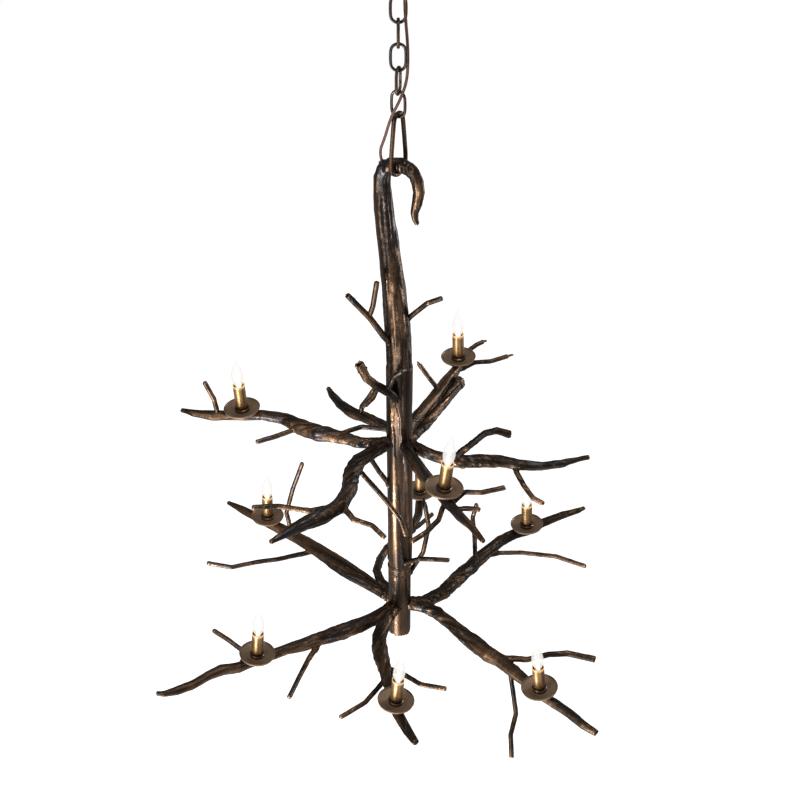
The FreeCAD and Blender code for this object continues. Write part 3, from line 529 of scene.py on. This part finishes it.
def beaten(piece, dent, flute, lift, along_z, wall):
    """Moves each point along its normal by hammer dents and long grooves.

    Thin shoots are dented less and thickened to the girth of cut rod, but a
    tube's own wall stays as thin as it is."""
    mesh = piece.data
    normals = [vertex.normal.copy() for vertex in mesh.vertices]
    for vertex, normal, girth in zip(mesh.vertices, normals, girths(mesh)):
        spot = vertex.co
        share = min(1.0, girth / FULL_BAR) ** 1.5
        swell = max(0.0, THIN_SHOOT - girth) / 2 if girth > wall else 0.0
        blow = noise.noise(spot * 55.0) * 0.6 + noise.noise(spot * 120.0) * 0.4
        groove = 0.5 - abs(noise.noise(groove_spot(spot, along_z))) * 2.2
        push = lift + swell + share * (dent * blow - flute * groove)
        vertex.co = spot + normal * push
    mesh.update()


def smooth_shaded(piece):
    for face in piece.data.polygons:
        face.use_smooth = True


def forged(name, material, along_z, voxel=0.0019, dent=0.0012, flute=0.0019,
           passes=3, lift=0.0008):
    """A forged copy of one node of the model."""
    piece = copy_of(name, "forged_" + name)
    skinned(piece, voxel, passes)
    beaten(piece, dent, flute, lift, along_z, TUBE_WALL if name in HOLLOW else 0.0)
    smooth_shaded(piece)
    piece.data.materials.clear()
    piece.data.materials.append(material)
    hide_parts(name)
    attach(piece, "chandelier")
    return piece


branches = sorted(name for name in nodes if name.startswith("branch_"))
made = [forged(name, arm_bronze, False) for name in branches]
made.append(
    forged("trunk_twigs", twig_bronze, True, voxel=0.0016, dent=0.0006, flute=0.0005)
)
made.append(forged("crook_trunk", trunk_bronze, True, voxel=0.0022, flute=0.0020))
made.append(
    forged(
        "lower_trunk", trunk_bronze, True, voxel=0.0014, flute=0.0012, passes=2, lift=0.0004,
    )
)
print("forged faces", sum(len(piece.data.polygons) for piece in made))

# %% [markdown]
# ## Chain and ring
# The links are plain round wire in the model, faceted to keep it light.  A
# subdivision surface turns the facets round again.

# %% Round the wire
WELD_REACH = 0.00005
FLAT_FACES = 0.9
ANY_SHAPE = 3.2
ROUND_LEVELS = 2


def rounded_wire(name, body):
    piece = copy_of(name, "round_" + name)
    weld = piece.modifiers.new("weld", "WELD")
    weld.merge_threshold = WELD_REACH
    settle(piece)
    bm = bmesh.new()
    bm.from_mesh(piece.data)
    bmesh.ops.join_triangles(
        bm, faces=bm.faces, angle_face_threshold=FLAT_FACES, angle_shape_threshold=ANY_SHAPE,
    )
    bm.to_mesh(piece.data)
    bm.free()
    smooth = piece.modifiers.new("round", "SUBSURF")
    smooth.levels = ROUND_LEVELS
    smooth.render_levels = ROUND_LEVELS
    settle(piece)
    smooth_shaded(piece)
    piece.data.materials.clear()
    piece.data.materials.append(chain_bronze)
    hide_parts(name)
    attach(piece, body)
    return piece


links = [rounded_wire(f"chain_link_{number}", f"link_{number}") for number in range(1, 7)]
ring = rounded_wire("hanging_ring", "ring")
print("faces of a link", len(links[0].data.polygons), "and of the ring", len(ring.data.polygons))

# %% [markdown]
# ## Bulbs
# A flame bulb is a pear of thin clear glass with its tip pulled to one side.
# A stem and two glowing wires stand inside it, as one piece, and a threaded
# brass cap goes down into the socket.  We start with what they are made of.

# %% Glass and filament
CLEAR = (0.97, 0.97, 0.97)
HAZE_DARK = (0.04, 0.04, 0.04)
# Painted light: emission that makes the glass near white face on, for the bulb's glow and the
# lamps' light.
GLASS_PAINTED_LIGHT = (0.90, 0.875, 0.84)
# Painted shade: grey emission where the glass turns away.
GLASS_PAINTED_EDGE_SHADE = (0.42, 0.41, 0.40)
FILAMENT = (1.0, 0.78, 0.48)
FILAMENT_POWER = 6.0


def clear_glass(name):
    """Thin blown glass: clear face on.  Its emission paints it near white for the bulb's glow
    and the lamps' light, and paints grey shade where it turns away.
    """
    finish = Finish(name)
    rim = finish.add("LayerWeight", output=1, Blend=0.42)
    edge = finish.step(rim, 0.35, 0.95)
    clear = finish.add("BsdfTransparent", Color=(*CLEAR, 1.0))
    # The body's emission is painted light, near white face on, with painted grey shade at the
    # edges.
    body = finish.add(
        "BsdfPrincipled", Base_Color=(*HAZE_DARK, 1.0), Roughness=0.15,
        Emission_Color=finish.mix(edge, GLASS_PAINTED_LIGHT, GLASS_PAINTED_EDGE_SHADE), Emission_Strength=1.0,
    )
    return finish.finished(finish.join("MixShader", edge * 0.25 + 0.62, clear, body))


def glowing(name, colour, strength):
    return Finish(name).surface(
        Base_Color=(*colour, 1.0), Emission_Color=(*colour, 1.0), Emission_Strength=strength,
    )


lamp_glass = clear_glass("lamp_glass")
filament_glow = glowing("filament_glow", FILAMENT, FILAMENT_POWER)
cap_brass = plain("cap_brass", (0.55, 0.42, 0.22), 1.0, 0.3)
print("bulb materials", lamp_glass.name, filament_glow.name, cap_brass.name)

# %% [markdown]
# ## A small lathe
# Bulbs, sleeves and the collar are all turned work, so one function makes
# them.  It takes a profile of radius and height, and `bend` may push each
# ring sideways, which is how the flame's tip leans.

# %% Lathe


def lathe(bm, profile, steps, bend=None, closed=False):
    """Rings of points turned round Z; bend(z) shifts a ring sideways."""
    rings = []
    for radius, height in profile:
        shift = bend(height) if bend else 0.0
        ring_points = []
        for step in range(steps):
            angle = 2 * math.pi * step / steps
            place = (shift + radius * math.cos(angle), radius * math.sin(angle), height)
            ring_points.append(bm.verts.new(place))
        rings.append(ring_points)
    pairs = list(zip(rings, rings[1:]))
    if closed:
        pairs.append((rings[-1], rings[0]))
    for lower, upper in pairs:
        for step in range(steps):
            after = (step + 1) % steps
            bm.faces.new((lower[step], lower[after], upper[after], upper[step]))
    if closed:
        return
    bm.faces.new(list(reversed(rings[0])))
    bm.faces.new(rings[-1])


def mesh_piece(name, bm, material):
    mesh = bpy.data.meshes.new(name)
    bm.to_mesh(mesh)
    bm.free()
    piece = bpy.data.objects.new(name, mesh)
    bpy.context.scene.collection.objects.link(piece)
    mesh.materials.append(material)
    smooth_shaded(piece)
    return piece


print("the lathe is ready")

# %% [markdown]
# ## One bulb for each light
# A light's place and lean are read from the model: its slide joint gives the
# lean, and its pan gives the foot.  The bulb is built upright at the origin,
# and then moved there.

# %% Bulbs
GLASS_PROFILE = (
    (0.000, 0.46), (0.050, 0.52), (0.120, 0.70), (0.200, 0.87), (0.280, 0.96),
    (0.360, 1.00), (0.440, 0.97), (0.520, 0.88), (0.600, 0.74), (0.680, 0.58),
    (0.760, 0.42), (0.840, 0.27), (0.910, 0.16), (0.960, 0.09), (1.000, 0.03),
)
BULB_RADIUS = 0.0124
BULB_STEPS = 40
GLASS_LOW = 0.0590
GLASS_TALL = 0.0755
TIP_START = 0.6
TIP_LEAN = 0.24
STEM = ((0.0030, 0.001), (0.0030, 0.012), (0.0016, 0.020), (0.0012, 0.024))
STEM_STEPS = 12
WIRE_RADIUS = 0.0003
WIRE_LOW = 0.022
WIRE_HIGH = 0.040
WIRE_STEPS = 6
WIRE_APART = 0.0008
WIRE_SPREAD = 0.14
CAP_LOW = 0.0313
CAP_RADIUS = 0.0057
CAP_ROOT = 0.0053
CAP_THREADS = 5
CAP_PITCH = 0.003
CAP_STEPS = 24
UNDERSIDE_REACH = 0.0002


def tip_bend(height):
    """How far the flame's tip leans at this height."""
    share = max(0.0, (height - GLASS_LOW) / GLASS_TALL - TIP_START) / (1.0 - TIP_START)
    return BULB_RADIUS * TIP_LEAN * share ** 1.6


def glass_shape():
    profile = [
        (BULB_RADIUS * width, GLASS_LOW + GLASS_TALL * share) for share, width in GLASS_PROFILE
    ]
    bm = bmesh.new()
    lathe(bm, profile, BULB_STEPS, tip_bend)
    return bm


def filament_shape():
    bm = bmesh.new()
    lathe(bm, [(radius, GLASS_LOW + height) for radius, height in STEM], STEM_STEPS)
    for side in (-1, 1):
        start = len(bm.verts)
        ends = [(WIRE_RADIUS, GLASS_LOW + WIRE_LOW), (WIRE_RADIUS, GLASS_LOW + WIRE_HIGH)]
        lathe(bm, ends, WIRE_STEPS)
        bm.verts.ensure_lookup_table()
        for vertex in bm.verts[start:]:
            risen = vertex.co.z - GLASS_LOW - WIRE_LOW
            vertex.co.x += side * (WIRE_APART + WIRE_SPREAD * risen)
    return bm


def cap_shape():
    rows = [(0.0030, CAP_LOW), (CAP_RADIUS, CAP_LOW + 0.003)]
    for turn in range(CAP_THREADS):
        rows.append((CAP_RADIUS, CAP_LOW + 0.005 + turn * CAP_PITCH))
        rows.append((CAP_ROOT, CAP_LOW + 0.0065 + turn * CAP_PITCH))
    rows += [(CAP_RADIUS, CAP_LOW + 0.021), (CAP_RADIUS, GLASS_LOW + 0.0002)]
    bm = bmesh.new()
    lathe(bm, rows, CAP_STEPS)
    return bm


def bulb_pieces(light, place):
    """Envelope, filament and cap of one bulb, at its place in the lamp."""
    envelope = mesh_piece("bulb_glass_" + light, glass_shape(), lamp_glass)
    filament = mesh_piece("bulb_filament_" + light, filament_shape(), filament_glow)
    base = mesh_piece("bulb_cap_" + light, cap_shape(), cap_brass)
    for piece in (envelope, filament, base):
        piece.data.transform(place)
        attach(piece, "bulb_" + light)
    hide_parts("bulb_" + light)


def foot_of(light, turn):
    """The middle of the pan's outline, at the height of its underside."""
    upright = turn.inverted()
    points = [upright @ vertex.co for vertex in nodes["drip_pan_" + light].data.vertices]
    low = min(point.z for point in points)
    ring_points = [point for point in points if point.z < low + UNDERSIDE_REACH]
    middle = sum(ring_points, Vector()) / len(ring_points)
    wide = (max(point.x for point in points) + min(point.x for point in points)) / 2
    deep = (max(point.y for point in points) + min(point.y for point in points)) / 2
    return turn @ Vector((wide, deep, middle.z))


def light_frames():
    """Each light's foot and lean, read from its slide joint and its pan."""
    found = {}
    for joint in frame["joints"]:
        if not joint["name"].endswith("_lift"):
            continue
        light = joint["child"][len("bulb_"):]
        axis = Vector(joint["axis"]).normalized()
        turn = Matrix.Rotation(math.atan2(axis.x, axis.z), 4, "Y")
        found[light] = Matrix.Translation(foot_of(light, turn)) @ turn
    return found


places = light_frames()
for light, place in places.items():
    bulb_pieces(light, place)
print("lights", len(places))

# %% [markdown]
# ## Collar round the trunk
# A rounded ring of weld, dressed with a file, marks the joint between the
# trunk and the pipe under it.  It sits a little above the model's seam, at
# the height that the photograph shows.

# %% Seam collar
COLLAR_LIFT = 0.0165
COLLAR_ROWS = (
    (-0.0005, -0.0042), (0.0009, -0.0036), (0.0019, -0.0015), (0.0019, 0.0012),
    (0.0006, 0.0030), (-0.0012, 0.0038), (-0.0018, 0.0062), (-0.0010, 0.0080),
)
COLLAR_STEPS = 64
COLLAR_WAVE = 0.0008
COLLAR_WAVES = 40.0


def seam_collar():
    pipe_low, pipe_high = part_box("lower_trunk")
    radius = (pipe_high[0] - pipe_low[0]) / 2
    middle = Vector((
        (pipe_low[0] + pipe_high[0]) / 2,
        (pipe_low[1] + pipe_high[1]) / 2,
        pipe_high[2] + COLLAR_LIFT,
    ))
    bm = bmesh.new()
    lathe(bm, [(radius + out, height) for out, height in COLLAR_ROWS], COLLAR_STEPS)
    collar = mesh_piece("seam_collar", bm, trunk_bronze)
    collar.data.transform(Matrix.Translation(middle))
    for vertex in collar.data.vertices:
        vertex.co.z += COLLAR_WAVE * noise.noise(vertex.co * COLLAR_WAVES)
    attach(collar, "chandelier")
    return collar


collar = seam_collar()
print("collar points", len(collar.data.vertices))

# %% [markdown]
# ## Candle sleeves
# A brass sleeve is a thin tube with a rolled lip.  Each one is turned on the
# same lathe, and every point keeps its share of the height, because the foot
# gets painted shade and the mouth a painted glow for the bulb's light.

# %% Sleeves
SLEEVE_RADIUS = 0.0127
SLEEVE_LOW = 0.0030
SLEEVE_TALL = 0.0635
SLEEVE_WALL = 0.0009
SLEEVE_STEPS = 36
LIP_OUT = 0.0002


def sleeve_profile():
    """Radius and share of the height, up the outside and down the bore."""
    outer = SLEEVE_RADIUS - LIP_OUT
    inner = SLEEVE_RADIUS - SLEEVE_WALL
    rows = [(outer, share) for share in (0.0, 0.2, 0.4, 0.6, 0.8, 0.9, 0.95)]
    rows += [(outer + LIP_OUT, 0.975), (outer + LIP_OUT / 2, 0.995), (outer - LIP_OUT * 2, 1.0)]
    rows += [(inner, 0.985), (inner, 0.9), (inner, 0.8), (inner, 0.05)]
    return rows


def sleeve_pieces(light, place):
    rows = [(radius, SLEEVE_LOW + SLEEVE_TALL * share) for radius, share in sleeve_profile()]
    bm = bmesh.new()
    lathe(bm, rows, SLEEVE_STEPS, closed=True)
    sleeve = mesh_piece("sleeve_" + light, bm, aged_brass)
    # The share of the height sets the painted shade at the foot and the painted glow at the
    # mouth.
    shares = sleeve.data.attributes.new("height_share", "FLOAT", "POINT")
    for vertex in sleeve.data.vertices:
        shares.data[vertex.index].value = (vertex.co.z - SLEEVE_LOW) / SLEEVE_TALL
    sleeve.data.transform(place)
    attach(sleeve, "chandelier")
    return sleeve


sleeves = [sleeve_pieces(light, place) for light, place in places.items()]
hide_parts("candle_sleeves")
print("sleeves", len(sleeves))

# %% [markdown]
# ## Finishes for the pieces whose shape is already right
# Pans, cups, stems, sockets and the ceiling parts keep their own meshes, and
# only their material changes.

# %% Dress the remaining nodes
FINISHES = (
    (pan_bronze, [name for name in nodes if name.startswith("drip_pan_")]),
    (cup_bronze, ["seat_cups"]),
    (black_phenolic, ["lamp_sockets", "cord_bushing"]),
    (lead_rubber, ["wire_harness"]),
    (trunk_bronze, ["canopy", "trunk_bottom_cap"]),
    (chain_bronze, ["canopy_collar_loop"]),
    (zinc_steel, [
        "candle_stems", "canopy_crossbar", "canopy_nipple", "canopy_locknut", "trunk_coupling",
    ]),
)


def dress(name, material):
    piece = nodes[name]
    piece.data.materials.clear()
    piece.data.materials.append(material)


for material, names in FINISHES:
    for name in names:
        dress(name, material)
print("dressed", sum(len(names) for material, names in FINISHES))

# %% [markdown]
# ## Paper white
# The camera sees plain white behind the lamp and through its glass, while
# the metal reflects a much dimmer room.  One switch does both: it tells the
# rays that come from the eye from those that light the metal.

# %% World and floor
ROOM_LIGHT = 0.28
PAPER_LIGHT = 1.0
FLOOR_LEVEL = -4.2
FLOOR_SIZE = 9.0
FLOOR_COLOUR = (0.9, 0.9, 0.9)
FLOOR_GLOW = 0.85


def seen_by_eye(tree):
    """1 for camera rays, also through glass, and 0 for the others."""
    path = tree.nodes.new("ShaderNodeLightPath")
    seen = tree.nodes.new("ShaderNodeMath")
    seen.operation = "MAXIMUM"
    tree.links.new(path.outputs["Is Camera Ray"], seen.inputs[0])
    tree.links.new(path.outputs["Is Transmission Ray"], seen.inputs[1])
    return Wire(tree, seen.outputs[0])


def white_background(tree, strength):
    node = tree.nodes.new("ShaderNodeBackground")
    node.inputs[0].default_value = (*WHITE, 1.0)
    node.inputs[1].default_value = strength
    return Wire(tree, node.outputs[0])


def white_room():
    world = bpy.data.worlds.new("white_room")
    bpy.context.scene.world = world
    world.use_nodes = True
    tree = world.node_tree
    tree.nodes.clear()
    choice = tree.nodes.new("ShaderNodeMixShader")
    plug(tree, choice.inputs[0], seen_by_eye(tree))
    plug(tree, choice.inputs[1], white_background(tree, ROOM_LIGHT))
    plug(tree, choice.inputs[2], white_background(tree, PAPER_LIGHT))
    output = tree.nodes.new("ShaderNodeOutputWorld")
    tree.links.new(choice.outputs[0], output.inputs[0])


def pale_floor():
    finish = Finish("pale_floor")
    diffuse = finish.add("BsdfDiffuse", Color=(*FLOOR_COLOUR, 1.0))
    glow = finish.add("Emission", Color=(*WHITE, 1.0), Strength=FLOOR_GLOW)
    lit = finish.join("AddShader", diffuse, glow)
    paper = finish.join("MixShader", seen_by_eye(finish.tree), diffuse, lit)
    bm = bmesh.new()
    bmesh.ops.create_grid(bm, x_segments=1, y_segments=1, size=FLOOR_SIZE)
    return mesh_piece("pale_floor", bm, finish.finished(paper))


white_room()
floor = pale_floor()
floor.location = (0.0, 0.0, FLOOR_LEVEL)
print("floor at", FLOOR_LEVEL)

# %% [markdown]
# ## Lamps
# A tall strip low on the left gives the long highlight down the trunk.  The
# other soft lamps fill the right, catch the rims and light the pans.

# %% Soft lamps


def soft_lamp(name, place, size, power):
    """A rectangle of light that faces the lamp's middle."""
    data = bpy.data.lights.new(name, "AREA")
    data.shape = "RECTANGLE"
    data.size, data.size_y = size
    data.energy = power
    lamp = bpy.data.objects.new(name, data)
    bpy.context.scene.collection.objects.link(lamp)
    lamp.location = place
    lamp.rotation_euler = (AIM - Vector(place)).to_track_quat("-Z", "Y").to_euler()


soft_lamp("low_left_strip", (-1.35, -2.0, -2.75), (0.45, 2.3), 170.0)
soft_lamp("low_right_fill", (1.3, -2.2, -2.5), (0.35, 1.2), 12.0)
soft_lamp("key_left", (-1.6, -1.8, 0.1), (0.8, 1.2), 34.0)
soft_lamp("rim_right", (2.0, 0.9, -0.9), (0.4, 1.8), 26.0)
soft_lamp("top_soft", (0.2, -0.2, 1.3), (1.2, 1.2), 22.0)
print("lights in the scene", len(bpy.data.lights))
